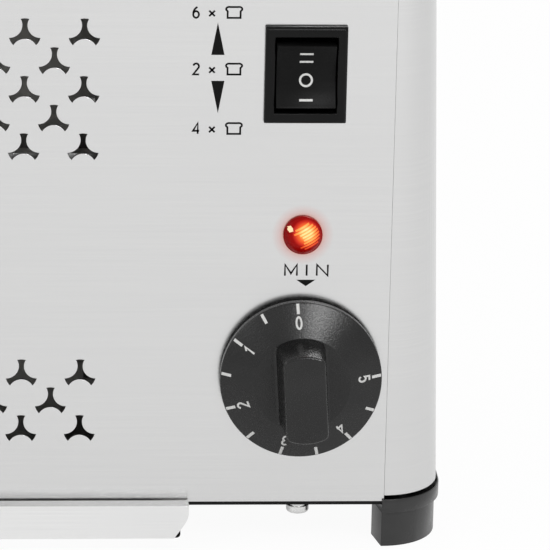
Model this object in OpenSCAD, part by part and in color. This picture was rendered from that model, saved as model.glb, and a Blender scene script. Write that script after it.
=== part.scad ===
// Six-slot commercial toaster, standing on four corner feet.
// X runs to the right seen from the front, Y to the rear, Z up; the table is at Z = 0.

/* [Casing] */
// Width of the front and rear panels, from seam to seam
panel_w = 414.6; // [404:0.2:440]
// Depth from the face of the front panel to the face of the rear panel
body_d = 210; // [200:1:250]
// Height of the top edge above the table
body_h = 225; // [218:1:270]
// Height of the panels' bottom edge above the table
panel_z = 15.3; // [14.6:0.1:20]
// Thickness of the casing sheet
sheet_t = 1; // [0.8:0.1:1.4]
// Outer radius of the bend along the top edges
top_r = 9; // [5:0.5:10]
// Depth of the folded flange along the top of a panel
top_flange = 10; // [6:0.5:14]
// Depth of the folded flange along the bottom of a panel
bottom_flange = 12; // [10:0.5:14]
// Reach of an end cover past its seam, at the bottom
end_w = 18.4; // [16.5:0.1:28]
// How much narrower an end cover is at the top
end_taper = 6; // [0:0.1:7]
// Depth of the rounded corners of an end cover
corner_d = 21; // [18:0.5:30]
// Height of the end covers' bottom edge over the panels' bottom edge
cover_lift = 1.9; // [1.4:0.1:3]
// Width of the seam line between a panel and an end cover
seam_gap = 0.1; // [0.1:0.1:0.8]
// Width of the tongue of an end cover behind a panel
tongue_w = 6.8; // [4:0.2:8]
// Thickness of the base plate
base_t = 1.2; // [0.8:0.1:1.6]

/* [Vents] */
// Distance between vent holes along a row
vent_pitch = 18.4; // [14:0.1:19]
// Reach of a vent hole's three arms
vent_r = 5; // [4:0.1:5.2]
// Radius of the three bites that leave the arms
vent_bite_r = 4.07; // [3.8:0.01:4.3]
// Distance of the bites from the vent's centre
vent_bite_d = 5.6; // [5.4:0.05:6]
// Vent holes in a full row
vent_columns = 13; // [3:2:13]
// Height of the lowest row of vents
vent_low_z = 39.2; // [36:0.1:50]
// Rows in the lower field of vents
vent_low_rows = 3; // [1:1:5]
// Height of the lowest row of the upper field
vent_high_z = 131.2; // [110:0.1:150]
// Rows in the upper field of vents
vent_high_rows = 5; // [1:1:6]

/* [Bread slots] */
// Distance between neighbouring slots
slot_pitch = 46; // [42:0.5:48]
// Width of a bread slot
slot_w = 30; // [24:0.5:31]
// Length of a bread slot, from front to back
slot_l = 140; // [120:1:144]
// Depth of the turned-down collar round a slot
collar_h = 6; // [3:0.5:8]
// Thickness of a collar
collar_t = 0.8; // [0.5:0.1:1]
// Space between a slot's end and the chamber wall
chamber_gap = 9.5; // [6:0.5:11]
// Space between the outer heater boards and the bulkheads
bulkhead_gap = 4.5; // [2.5:0.5:8]

/* [Heaters] */
// Height of a heater board's lower edge above the table
board_z = 45; // [35:1:50]
// Height of a heater board
board_h = 150; // [120:1:155]
// Thickness of a heater board
board_t = 1; // [0.6:0.1:2]
// Width of the heating ribbon
ribbon_w = 2; // [1:0.1:3]
// Thickness of the heating ribbon
ribbon_t = 0.4; // [0.3:0.1:0.6]
// Turns of ribbon on a board
ribbon_turns = 16; // [6:1:20]
// Distance between turns
ribbon_pitch = 8; // [5:0.5:9]
// Distance of the guard wires from the middle of a board
guard_x = 6.4; // [4:0.1:6.8]
// Thickness of a guard wire
guard_d = 2; // [1.4:0.1:2.4]
// Upright wires on each side of a guard
guard_bars = 7; // [3:1:9]

/* [Lift] */
// Height of the bread racks above the table when raised
rack_z = 135; // [125:1:145]
// How far the racks go down
lift_travel = 75; // [50:1:78]
// Height of a rack's spine
spine_h = 8; // [6:0.5:12]
// Thickness of a rack's spine
spine_t = 2; // [1.2:0.1:3]
// Thickness of a rack's cross wires
wire_d = 3; // [2:0.1:4]
// Reach of the cross wires to each side
wire_reach = 12; // [9:0.5:12.5]
// Cross wires on a rack
wire_count = 6; // [3:1:8]
// Width of the lift bars
bar_w = 6; // [4:0.5:8]
// Height of the lift bars
bar_h = 5; // [4:0.5:8]
// Diameter of the guide rods
rod_d = 8; // [6:0.1:10]
// Distance of the guide rods from the middle, front and back
rod_y = 50; // [30:1:60]
// Outer diameter of the guide bushes
bush_d = 14; // [12.5:0.1:16]
// Height of the guide bosses
boss_h = 22; // [16:0.5:26]
// Width of the lever arm
arm_w = 6; // [4:0.5:8]
// Height of the lever arm
arm_h = 10; // [8:0.5:12]
// Reach of the lever knob from the front panel
lever_reach = 26; // [22:0.5:36]
// Diameter of the lever knob
lever_knob_d = 30; // [24:0.5:34]
// Length of the lever knob
lever_knob_l = 20; // [16:0.5:20]

/* [Controls] */
// Distance of the control column from the seam
control_inset = 28.2; // [28:0.1:30]
// Height of the middle of the rocker switch
switch_z = 155.5; // [130:0.1:165]
// Width of the switch bezel
bezel_w = 25.6; // [24.5:0.1:30]
// Height of the switch bezel
bezel_h = 31; // [29.5:0.1:36]
// Thickness of the switch bezel
bezel_t = 2.4; // [2:0.1:3.5]
// Width of the opening for the rocker
rocker_open_w = 19.4; // [18:0.1:19.6]
// Height of the opening for the rocker
rocker_open_h = 24.2; // [22.6:0.1:25]
// Width of the rocker
rocker_w = 18.4; // [15:0.1:18.7]
// Height of the rocker's face
rocker_h = 19.8; // [17:0.1:20.6]
// Reach of the rocker's ends past the bezel
rocker_proud = 1.8; // [1.6:0.1:2.6]
// Hollow of the rocker's face
rocker_hollow = 3; // [0.5:0.1:3.4]
// Depth of the switch behind the panel
switch_depth = 24; // [20:0.5:30]
// Height of the pilot lamp
lamp_z = 103.5; // [96:0.1:125]
// How far right of the switch's middle the pilot lamp stands
lamp_shift = 0.3; // [-0.6:0.1:0.6]
// Diameter of the pilot lamp's lens
lamp_d = 12.3; // [11.5:0.1:16]
// Height of the lens dome
lamp_dome = 4; // [2.5:0.1:5]
// Height of the timer's axis
timer_z = 57.3; // [50:0.1:62]
// How far right of the switch's middle the timer stands
timer_shift = 0.5; // [-0.6:0.1:0.6]
// Diameter of the timer knob's skirt
knob_d = 51; // [46:0.5:54]
// Reach of the timer knob from the front panel
knob_reach = 26; // [24:0.5:32]
// Diameter of the timer knob's hub
hub_d = 30; // [29:0.5:32]
// Width of the timer knob's grip
grip_w = 12.9; // [10:0.1:16]
// Length of the timer knob's grip
grip_l = 27.7; // [22:0.1:28]
// Diameter of the timer shaft
shaft_d = 6; // [4:0.1:7]
// Width and height of the timer body
timer_w = 40; // [34:0.5:40]
// Depth of the timer body
timer_depth = 30; // [20:0.5:40]

/* [Crumb tray] */
// Width of the tray's front lip
lip_w = 290; // [284:0.5:300]
// Height of the tray's front lip
lip_h = 10.9; // [9.8:0.1:11.2]
// Depth of the tray's front lip
lip_d = 5.4; // [3:0.1:8]
// Height of the lip's top over the panels' bottom edge
lip_rise = 0.9; // [0.2:0.1:2]
// How far the lip's ends draw in towards their lower corners
lip_draw = 2.4; // [1:0.1:3]
// Width of the cut that shows the pad at each lower corner of the lip
pad_w = 2.1; // [1:0.1:3]
// Height of the pads
pad_h = 3; // [2:0.1:4]
// Gap between the lip and the front panel
lip_gap = 1.3; // [0.5:0.1:3]
// Thickness of the tray sheet
tray_t = 0.8; // [0.6:0.1:1]
// How far the lip stands out past the pan on each side
lip_over = 7; // [5:0.5:9]

/* [Feet] */
// Length of a foot along the end cover
foot_l = 42; // [30:0.5:60]
// Thickness of a foot
foot_wall = 12; // [12:0.1:14]
// Height of a foot's rim
rim_h = 4.5; // [4:0.1:7]
// Height of the rim's top over the panels' bottom edge
rim_rise = 0.7; // [0.5:0.1:1.4]
// How far the rim stands out past the end cover
rim_out = 0.9; // [0.8:0.1:4]
// How far a foot's lower part stands in behind the end cover's face
foot_in = 0.4; // [0:0.1:1]
// Rise of the slanted web that thickens a foot's inner corner round its screw
foot_gusset = 9; // [8:0.5:16]
// How far a foot reaches inside the seam, at the front
foot_inner = 0.6; // [0:0.1:2]
// How much further a foot reaches inside at its back
foot_slant = 2.1; // [0:0.1:4]

/* [Fasteners and inlet] */
// Diameter of the screw shanks
screw_d = 4; // [3:0.1:4.4]
// Diameter of the screw heads
screw_head_d = 7.2; // [6.5:0.1:8]
// Height of the screw heads
screw_head_h = 2.4; // [2.2:0.1:3]
// Rounding of the screw heads
screw_head_r = 1.1; // [0.6:0.1:1.1]
// Thickness of the washers under the base screws
washer_t = 1.3; // [0.5:0.1:1.5]
// How far right of the switch's middle the base screws stand
base_screw_shift = 1.1; // [0:0.1:2]
// Distance of the base screws from the panel's face
base_screw_in = 4.9; // [4.6:0.1:6]
// Height of the cable gland
gland_z = 48; // [40:1:70]
// Thread diameter of the cable gland
gland_d = 16; // [14:0.5:18]
// Reach of the cable gland behind the rear panel
gland_reach = 26; // [20:0.5:30]
// Bore of the cable gland
gland_bore = 8; // [6:0.5:9]

/* [Hidden] */
$fn = 48;

// Clearances
slip = 0.05;      // radial play of a turning or sliding fit
fit = 0.1;        // play of a fixed piece in its hole
loose = 0.3;      // play between pieces that pass each other
cut = 1;          // how far a cutting shape runs past the face it cuts
sliver = 0.01;    // overlap of two forms that make one piece

// Places
front_y = -body_d / 2;
seam_x = panel_w / 2;
panel_half = seam_x - seam_gap / 2;
cover_x = seam_x + seam_gap / 2;
control_x = seam_x - control_inset;
timer_x = control_x + timer_shift;
lamp_x = control_x + lamp_shift;
base_screw_x = control_x + base_screw_shift;
lever_x = -control_x;
inner_y = body_d / 2 - sheet_t;
base_z = panel_z - base_t;
floor_z = panel_z;
ceiling_z = body_h - 2 * sheet_t;
cover_z = panel_z + cover_lift;

// Toasting chamber
slot_count = 6;
wall_t = sheet_t;
wall_in = slot_l / 2 + chamber_gap;
wall_out = wall_in + wall_t;
bulkhead_in = slot_count / 2 * slot_pitch + bulkhead_gap;
bulkhead_out = bulkhead_in + wall_t;
crumb_x = bulkhead_in - 4;
crumb_y = wall_in - 3.5;
function slot_x(i) = (i - (slot_count + 1) / 2) * slot_pitch;
function board_x(i) = (i - (slot_count + 2) / 2) * slot_pitch;

// Lift
bar_y = (wall_out + inner_y) / 2;
bar_top = rack_z - spine_h;
bar_z = bar_top - bar_h;
bar_mid = bar_z + bar_h / 2;
rod_x = -(bulkhead_out + seam_x) / 2;
boss_d = bush_d + 8;
bush_flange_t = 1.5;
cross_w = boss_d;
arm_z = bar_mid - arm_h / 2;
wire_z = rack_z - wire_d / 2 + 1;
wall_slot_w = spine_t + 3;

// Timer and switch
knob_gap = 0.8;
knob_h = knob_reach - knob_gap;
rim_t = 3.7;
hub_h = 9;
skirt_t = 2;
socket_h = knob_h - 6;
shaft_in = 12;
shaft_boss_d = shaft_d + 5;
housing_w = bezel_w - 4;
housing_h = bezel_h - 3.4;
bezel_bevel = 0.8;
rocker_depth = 8.7;
pivot_in = 3;
pivot_d = 3;
pivot_y = front_y + pivot_in;
rocker_front = front_y - bezel_t - rocker_proud;
hollow_r = ((rocker_h / 2) ^ 2 + rocker_hollow ^ 2) / (2 * rocker_hollow);
lamp_flange_t = 1.2;
lamp_neck_d = lamp_d - 3;
lamp_neck_l = 6;
lamp_holder_d = lamp_d + 3;
lamp_holder_l = 22;

// Crumb tray
lip_top = panel_z + lip_rise;
tray_z = lip_top - lip_h;
lip_back = front_y - lip_gap;
lip_front = lip_back - lip_d;
lip_straight = 2.5;
lip_steps = 8;
pad_t = 2.5;
pad_r = 1.2;
pan_x = lip_w / 2 - lip_over;
pan_top = base_z - 0.9;
pan_back = body_d / 2 - 7;
rail_t = 1;
rail_foot = 8;
rail_y = body_d / 2 - bottom_flange - 3;

// Feet
rim_top = panel_z + rim_rise;
rim_z = rim_top - rim_h;
foot_screw_x = seam_x + 6.5;
foot_screw_y = front_y + 10;
foot_seat_z = 8;
base_inset = 0.3;

// Points of the rounded front right corner, from the seam to the end, grown outwards
corner_steps = 16;
function corner_point(a, grow) = [
    seam_x + (end_w + grow) * sin(a),
    front_y + corner_d - (corner_d + grow) * cos(a)
];
function corner_arc(grow) = [for (i = [0:corner_steps]) corner_point(90 * i / corner_steps, grow)];

// Mirrors a point of the plan into another corner
function mirrored(points, sx, sy) = [for (p = points) [sx * p[0], sy * p[1]]];
function reversed(points) = [for (i = [len(points) - 1:-1:0]) points[i]];

module both_ends() {
    children();
    mirror([1, 0, 0]) children();
}

module both_faces() {
    children();
    mirror([0, 1, 0]) children();
}

// Box from its lowest to its highest corner
module box(low, high) {
    translate(low) cube(high - low);
}

// Turns a drawing of the front (x to the right, y up) upright at y, growing towards the rear
module upright(y, depth) {
    translate([0, y + depth, 0]) rotate([90, 0, 0]) linear_extrude(depth) children();
}

// Rod along X, Y or Z between two coordinates
module rod_along_x(x0, x1, y, z, d) {
    translate([x0, y, z]) rotate([0, 90, 0]) cylinder(d = d, h = x1 - x0);
}

module rod_along_y(x, y0, y1, z, d) {
    translate([x, y0, z]) rotate([-90, 0, 0]) cylinder(d = d, h = y1 - y0);
}

module rod_along_z(x, y, z0, z1, d) {
    translate([x, y, z0]) cylinder(d = d, h = z1 - z0);
}

// Rounded rectangle, centred
module soft_rectangle(w, l, r) {
    square([w - 2 * r, l], center = true);
    square([w, l - 2 * r], center = true);
    for (x = [-1, 1], y = [-1, 1])
        translate([x * (w / 2 - r), y * (l / 2 - r)]) circle(r);
}

// Three-armed vent hole, one arm up
module vent_hole() {
    difference() {
        circle(vent_r);
        for (a = [30, 150, 270])
            rotate(a) translate([vent_bite_d, 0]) circle(vent_bite_r);
    }
}

// A staggered field of vents, its rows counted up from z
module vent_field(z, rows) {
    for (row = [0:rows - 1]) {
        columns = vent_columns - row % 2;
        for (c = [0:columns - 1])
            translate([(c - (columns - 1) / 2) * vent_pitch, z + row * vent_pitch / 2]) vent_hole();
    }
}

// Side section of a panel: y towards the middle of the toaster, z up
module panel_section() {
    translate([0, panel_z]) square([sheet_t, body_h - top_r - panel_z]);
    translate([0, panel_z]) square([bottom_flange, sheet_t]);
    translate([top_r, body_h - sheet_t]) square([top_flange, sheet_t]);
    translate([top_r, body_h - top_r]) intersection() {
        difference() {
            circle(top_r);
            circle(top_r - sheet_t);
        }
        translate([-top_r, 0]) square(top_r);
    }
}

// Bent sheet with vents and the holes for the base screws, before its own cut-outs
module bent_panel() {
    difference() {
        translate([-panel_half, front_y, 0]) rotate([90, 0, 90])
            linear_extrude(2 * panel_half) panel_section();
        upright(front_y - cut, sheet_t + 2 * cut) {
            vent_field(vent_low_z, vent_low_rows);
            vent_field(vent_high_z, vent_high_rows);
        }
        both_ends() rod_along_z(base_screw_x, front_y + base_screw_in, panel_z - cut,
            panel_z + sheet_t + cut, screw_d + 2 * fit);
    }
}

module front_panel() {
    color("silver") difference() {
        bent_panel();
        upright(front_y - cut, sheet_t + 2 * cut) {
            translate([control_x, switch_z])
                square([housing_w + 2 * fit, housing_h + 2 * fit], center = true);
            translate([lamp_x, lamp_z]) circle(d = lamp_neck_d + 2 * fit);
            translate([timer_x, timer_z]) circle(d = shaft_d + 4);
            translate([lever_x, bar_mid - lift_travel / 2])
                soft_rectangle(arm_w + 3, arm_h + lift_travel + 8, (arm_w + 3) / 2 - sliver);
        }
    }
}

module rear_panel() {
    color("silver") difference() {
        rotate(180) bent_panel();
        rod_along_y(control_x, inner_y - cut, body_d / 2 + cut, gland_z, gland_d + 2 * fit);
    }
}

// Solid through closed rings of points, each ring counted like the one below it
module loft(rings) {
    n = len(rings[0]);
    last = (len(rings) - 1) * n;
    polyhedron(
        [for (ring = rings) each ring],
        concat(
            [[for (i = [0:n - 1]) i], [for (i = [n - 1:-1:0]) last + i]],
            [for (k = [0:len(rings) - 2], i = [0:n - 1], upper = [false, true])
                let (a = k * n + i, b = k * n + (i + 1) % n)
                upper ? [b, a + n, b + n] : [a, a + n, b]]
        )
    );
}

// Outline of a right end cover at height z, drawn in from its outer face
function end_ring(z, inset) = let (
    reach = end_w - end_taper * (z - panel_z) / (body_h - panel_z) - inset,
    round = corner_d - inset,
    arc = [for (i = [0:corner_steps]) let (a = 90 * i / corner_steps)
        [seam_x + reach * sin(a), front_y + corner_d - round * cos(a), z]],
    half = concat([[seam_x - cut - inset, front_y + inset, z]], arc)
) concat(half, reversed([for (p = half) [p[0], -p[1], z]]));

// Rounded form of a right end cover, drawn in from its outer face
module end_form(bottom, inset) {
    bend_r = top_r - inset;
    loft(concat(
        [end_ring(bottom, inset)],
        [for (a = [0:15:90]) end_ring(body_h - top_r + bend_r * sin(a), top_r - bend_r * cos(a))]
    ));
}

module end_cover() {
    difference() {
        end_form(cover_z, 0);
        end_form(cover_z - cut, sheet_t);
        box([0, -body_d, 0], [cover_x, body_d, body_h + cut]);
    }
    both_faces() box([panel_half - tongue_w, front_y + sheet_t, cover_z],
        [cover_x + 2, front_y + 2 * sheet_t, body_h - top_r - 2]);
}

module right_end_cover() {
    color("gainsboro") end_cover();
}

module left_end_cover() {
    color("gainsboro") mirror([1, 0, 0]) end_cover();
}

module top_cover() {
    edge_y = body_d / 2 - top_r - 1;
    tab_y = body_d / 2 - corner_d;
    tab_x = cover_x + (end_w - end_taper - top_r) / 2;
    color("silver") difference() {
        union() {
            box([-panel_half, -edge_y, ceiling_z], [panel_half, edge_y, ceiling_z + sheet_t]);
            box([-tab_x, -tab_y, ceiling_z], [tab_x, tab_y, ceiling_z + sheet_t]);
            for (i = [1:slot_count])
                translate([slot_x(i), 0, ceiling_z - collar_h]) linear_extrude(collar_h + sheet_t)
                    soft_rectangle(slot_w + 2 * collar_t, slot_l + 2 * collar_t, 3 + collar_t);
        }
        for (i = [1:slot_count])
            translate([slot_x(i), 0, ceiling_z - collar_h - cut])
                linear_extrude(collar_h + sheet_t + 2 * cut) soft_rectangle(slot_w, slot_l, 3);
    }
}

module base_plate() {
    corner = corner_arc(-base_inset);
    color("dimgray") difference() {
        translate([0, 0, base_z]) linear_extrude(base_t) polygon(concat(
            corner,
            reversed(mirrored(corner, 1, -1)),
            mirrored(corner, -1, -1),
            reversed(mirrored(corner, -1, 1))
        ));
        box([-crumb_x, -crumb_y, base_z - cut], [crumb_x, crumb_y, floor_z + cut]);
        both_faces() both_ends() {
            rod_along_z(base_screw_x, front_y + base_screw_in, base_z - cut, floor_z + cut,
                screw_d + 2 * fit);
            rod_along_z(foot_screw_x, foot_screw_y, base_z - cut, floor_z + cut, screw_d + 2 * fit);
        }
    }
}

// Chamber wall at the front, with a slot for each rack's spine
module chamber_wall() {
    difference() {
        box([-bulkhead_out, -wall_out, floor_z], [bulkhead_out, -wall_in, ceiling_z]);
        for (i = [1:slot_count])
            box([slot_x(i) - wall_slot_w / 2, -wall_out - cut, bar_top - lift_travel - 4],
                [slot_x(i) + wall_slot_w / 2, -wall_in + cut, rack_z + 6]);
    }
}

module chamber_front_wall() {
    color("lightsteelblue") chamber_wall();
}

module chamber_rear_wall() {
    color("lightsteelblue") mirror([0, 1, 0]) chamber_wall();
}

module bulkhead() {
    box([bulkhead_in, -wall_in, floor_z], [bulkhead_out, wall_in, ceiling_z]);
}

module right_bulkhead() {
    color("lightsteelblue") bulkhead();
}

module left_bulkhead() {
    color("lightsteelblue") mirror([1, 0, 0]) bulkhead();
}

// Front right foot: an L in plan that follows the end cover's corner
module foot_plan(grow) {
    end_x = seam_x + end_w + grow;
    polygon(concat(
        [[seam_x - foot_inner, front_y - grow]],
        corner_arc(grow),
        [
            [end_x, front_y + foot_l],
            [end_x - foot_wall, front_y + foot_l],
            [end_x - foot_wall, front_y + foot_wall + foot_gusset],
            [seam_x - foot_inner - foot_slant, front_y + foot_wall]
        ]
    ));
}

module rim_plan() {
    end_x = seam_x + end_w;
    difference() {
        foot_plan(rim_out);
        polygon(concat(
            [[seam_x - foot_inner - foot_slant - cut, front_y - loose]],
            corner_arc(loose),
            [
                [end_x + loose, front_y + foot_l + cut],
                [seam_x - foot_inner - foot_slant - cut, front_y + foot_l + cut]
            ]
        ));
    }
}

module foot() {
    difference() {
        union() {
            linear_extrude(base_z) foot_plan(-foot_in);
            translate([0, 0, rim_z]) linear_extrude(base_z - rim_z) foot_plan(rim_out);
            translate([0, 0, base_z - sliver]) linear_extrude(rim_top - base_z + sliver) rim_plan();
        }
        rod_along_z(foot_screw_x, foot_screw_y, foot_seat_z - cut, base_z + cut, screw_d + 2 * fit);
        rod_along_z(foot_screw_x, foot_screw_y, -cut, foot_seat_z, screw_head_d + 2 * loose);
    }
}

module foot_front_right() {
    color("dimgray") foot();
}

module foot_front_left() {
    color("dimgray") mirror([1, 0, 0]) foot();
}

module foot_rear_right() {
    color("dimgray") mirror([0, 1, 0]) foot();
}

module foot_rear_left() {
    color("dimgray") rotate(180) foot();
}

// Screw pointing up, the flat of its head at z, with a rounded head below
module screw(x, y, z, length) {
    head_x = screw_head_d / 2 - screw_head_r;
    rod_along_z(x, y, z - sliver, z + length, screw_d);
    translate([x, y, z - screw_head_h]) rotate_extrude() {
        square([head_x, screw_head_h]);
        translate([0, screw_head_r]) square([screw_head_d / 2, screw_head_h - screw_head_r]);
        translate([head_x, screw_head_r]) circle(screw_head_r);
    }
}

module foot_screws() {
    color("gainsboro") both_faces() both_ends()
        screw(foot_screw_x, foot_screw_y, foot_seat_z, floor_z + 3 - foot_seat_z);
}

module base_screws() {
    washer_d = screw_d + 2;
    y = front_y + base_screw_in;
    color("gainsboro") both_faces() both_ends() {
        screw(base_screw_x, y, base_z - washer_t, washer_t + base_t + sheet_t + 3);
        rod_along_z(base_screw_x, y, base_z - washer_t - sliver, base_z, washer_d);
    }
}

// Right end of the lip's outline: upright, then drawn in to the cut at its lower corner
function lip_end() = let (
    half = lip_w / 2,
    drop = lip_h - lip_straight - pad_h
) concat(
    [[half, lip_top]],
    [for (i = [0:lip_steps])
        [half - lip_draw * (1 - cos(90 * i / lip_steps)), lip_top - lip_straight - drop * i / lip_steps]],
    [[half - lip_draw - pad_w, tray_z]]
);

module crumb_tray() {
    half = lip_w / 2;
    color("gainsboro") {
        box([-pan_x, lip_front + tray_t - sliver, tray_z], [pan_x, pan_back, tray_z + tray_t]);
        both_ends() box([pan_x - tray_t, front_y + sheet_t, tray_z], [pan_x, pan_back, pan_top]);
        box([-pan_x, pan_back - tray_t, tray_z], [pan_x, pan_back, pan_top]);
        box([-half, lip_front, lip_top - tray_t], [half, lip_back, lip_top]);
        upright(lip_front, tray_t)
            polygon(concat(lip_end(), reversed([for (p = lip_end()) [-p[0], p[1]]])));
    }
}

// Pads behind the lip's lower corners
module lip_pads() {
    outer = lip_w / 2 - lip_draw - fit;
    inner = outer - pad_w - 1;
    color("dimgray") both_ends() upright(lip_front + tray_t, pad_t) polygon(concat(
        [[inner, tray_z + pad_h], [inner, tray_z]],
        [for (a = [-90:15:0]) [outer - pad_r + pad_r * cos(a), tray_z + pad_r + pad_r * sin(a)]],
        [[outer, tray_z + pad_h]]
    ));
}

module tray_rails() {
    web_x = pan_x + loose;
    foot_top = tray_z - 0.2;
    color("silver") both_ends() {
        box([web_x, -rail_y, foot_top - rail_t], [web_x + rail_t, rail_y, base_z]);
        box([web_x - rail_foot, -rail_y, foot_top - rail_t], [web_x, rail_y, foot_top]);
        box([web_x, -rail_y, base_z - rail_t], [web_x + rail_foot, rail_y, base_z]);
    }
}

module heater_board(i) {
    color("khaki") box([board_x(i) - board_t / 2, -wall_in, board_z],
        [board_x(i) + board_t / 2, wall_in, board_z + board_h]);
}

// The ribbon's middle line: up one face of the board, over it, down the other face and under it
ribbon_clear = 0.2;
ribbon_x = board_t / 2 + ribbon_clear;
ribbon_y0 = -ribbon_pitch * ribbon_turns / 2;
ribbon_low = board_z - ribbon_clear;
ribbon_high = board_z + board_h + ribbon_clear;
function ribbon_corner(k) = let (turn = floor(k / 4), side = k % 4) [
    side == 1 || side == 2 ? (side == 1 ? 1 : -1) : (side == 0 ? 1 : -1),
    ribbon_y0 + ribbon_pitch * (turn + (side == 3 ? 1 : 0)),
    side == 1 || side == 2 ? 1 : 0
];

// Four points of the ribbon's section at a corner: inner pair, then outer pair
function ribbon_ring(k, x) = let (c = ribbon_corner(k)) [
    for (layer = [0, 1], s = [-1, 1]) [
        x + c[0] * (ribbon_x + layer * ribbon_t),
        c[1] + (layer == 0 ? s : -s) * ribbon_w / 2,
        c[2] == 1 ? ribbon_high + layer * ribbon_t : ribbon_low - layer * ribbon_t
    ]
];

ribbon_rings = 4 * ribbon_turns;
function ribbon_sides(n) = [
    for (k = [0:n - 2], j = [0:3]) let (
        a = 4 * k + j,
        b = 4 * k + (j + 1) % 4
    ) each [[a, b, b + 4], [a, b + 4, a + 4]]
];

// Least gap between neighbouring turns of a ribbon, measured on its middle line
ribbon_gap = min([for (k = [0:ribbon_rings - 5]) norm(ribbon_corner(k + 4) - ribbon_corner(k))])
    - ribbon_w;
echo(least_ribbon_gap = ribbon_gap);

module heating_ribbon(i) {
    last = 4 * (ribbon_rings - 1);
    color("chocolate") polyhedron(
        points = [for (k = [0:ribbon_rings - 1]) each ribbon_ring(k, board_x(i))],
        faces = concat(
            ribbon_sides(ribbon_rings),
            [[0, 2, 1], [0, 3, 2], [last, last + 1, last + 2], [last, last + 2, last + 3]]
        )
    );
}

// Wire cage round a heater board; the two outermost boards are guarded on one side only
module wire_guard(i) {
    x = board_x(i);
    low_z = board_z - 6;
    high_z = board_z + board_h + 8;
    sides = i == 1 ? [1] : i == slot_count + 1 ? [-1] : [-1, 1];
    span = wall_in - 12;
    color("lightgray") {
        for (s = sides) {
            for (z = [low_z, high_z])
                rod_along_y(x + s * guard_x, -wall_in, wall_in, z, guard_d);
            for (k = [0:guard_bars - 1])
                rod_along_z(x + s * guard_x, -span + 2 * span * k / (guard_bars - 1), low_z, high_z,
                    guard_d * 0.9);
        }
        if (len(sides) == 2)
            for (y = [-span / 2, span / 2], z = [low_z, high_z])
                rod_along_x(x - guard_x, x + guard_x, y, z, guard_d * 0.9);
    }
}

module bread_rack(i) {
    x = slot_x(i);
    end_y = bar_y + bar_w / 2;
    span = slot_l / 2 - 12;
    color("lightgray") {
        box([x - spine_t / 2, -end_y, bar_top], [x + spine_t / 2, end_y, rack_z]);
        for (k = [0:wire_count - 1])
            rod_along_x(x - wire_reach, x + wire_reach, -span + 2 * span * k / (wire_count - 1),
                wire_z, wire_d);
    }
}

module lift_frame() {
    far_x = slot_x(slot_count) + bar_w;
    left_x = rod_x - cross_w / 2;
    color("gray") difference() {
        union() {
            both_faces() box([left_x, -bar_y - bar_w / 2, bar_z],
                [far_x, -bar_y + bar_w / 2, bar_top]);
            box([left_x, -bar_y, bar_z], [left_x + cross_w, bar_y, bar_top]);
            both_faces() rod_along_z(rod_x, -rod_y, bar_mid - boss_h / 2, bar_mid + boss_h / 2, boss_d);
        }
        both_faces() rod_along_z(rod_x, -rod_y, bar_mid - boss_h, bar_mid + boss_h,
            bush_d + 2 * fit);
    }
}

module guide_bushes() {
    low_z = bar_mid - boss_h / 2;
    color("goldenrod") both_faces() difference() {
        union() {
            rod_along_z(rod_x, -rod_y, low_z - bush_flange_t, low_z + boss_h, bush_d);
            rod_along_z(rod_x, -rod_y, low_z - bush_flange_t, low_z, bush_d + 4);
        }
        rod_along_z(rod_x, -rod_y, low_z - boss_h, low_z + 2 * boss_h, rod_d + 2 * slip);
    }
}

module guide_rods() {
    color("silver") both_faces() rod_along_z(rod_x, -rod_y, floor_z, ceiling_z, rod_d);
}

module lever_arm() {
    color("gray") box([lever_x - arm_w / 2, front_y - lever_reach + 8, arm_z],
        [lever_x + arm_w / 2, -bar_y - bar_w / 2, arm_z + arm_h]);
}

module lever_knob() {
    knob_front = front_y - lever_reach;
    edge_r = 5;
    color("dimgray") difference() {
        translate([lever_x, knob_front + lever_knob_l, bar_mid]) rotate([90, 0, 0]) rotate_extrude() {
            square([lever_knob_d / 2 - edge_r, lever_knob_l]);
            translate([0, edge_r]) square([lever_knob_d / 2, lever_knob_l - 2 * edge_r]);
            for (y = [edge_r, lever_knob_l - edge_r])
                translate([lever_knob_d / 2 - edge_r, y]) circle(edge_r);
        }
        box([lever_x - arm_w / 2, knob_front + 8, arm_z],
            [lever_x + arm_w / 2, front_y + cut, arm_z + arm_h]);
    }
}

module timer_body() {
    half = timer_w / 2;
    face = front_y + sheet_t;
    color("whitesmoke") difference() {
        box([timer_x - half, face, timer_z - half], [timer_x + half, face + timer_depth, timer_z + half]);
        rod_along_y(timer_x, face - cut, face + shaft_in + loose, timer_z, shaft_d + 2 * slip);
    }
}

module timer_shaft() {
    color("silver") rod_along_y(timer_x, front_y - knob_gap - socket_h,
        front_y + sheet_t + shaft_in, timer_z, shaft_d);
}

// Half section of the knob's skirt: radius, then height over the knob's back
module skirt_section() {
    edge_r = knob_d / 2;
    hub_r = hub_d / 2;
    boss_r = shaft_boss_d / 2;
    polygon([
        [0, 0], [boss_r, 0], [boss_r, hub_h - skirt_t], [hub_r - skirt_t, hub_h - skirt_t],
        [edge_r - skirt_t, 0], [edge_r, 0], [edge_r, rim_t], [hub_r, hub_h], [0, hub_h]
    ]);
}

module timer_knob() {
    color("dimgray") translate([timer_x, front_y - knob_gap, timer_z]) rotate([90, 0, 0])
        difference() {
            union() {
                rotate_extrude() skirt_section();
                intersection() {
                    cylinder(d = grip_l, h = knob_h);
                    translate([-grip_w / 2, -grip_l, hub_h - skirt_t]) cube([grip_w, 2 * grip_l, knob_h]);
                }
            }
            translate([0, 0, -cut]) cylinder(d = shaft_d + 2 * fit, h = socket_h + cut);
        }
}

// Plate of the switch bezel with its bevelled front edge
module bezel() {
    hull() {
        upright(front_y - bezel_t + bezel_bevel, bezel_t - bezel_bevel)
            square([bezel_w, bezel_h], center = true);
        upright(front_y - bezel_t, bezel_bevel)
            square([bezel_w - 2 * bezel_bevel, bezel_h - 2 * bezel_bevel], center = true);
    }
}

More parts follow.
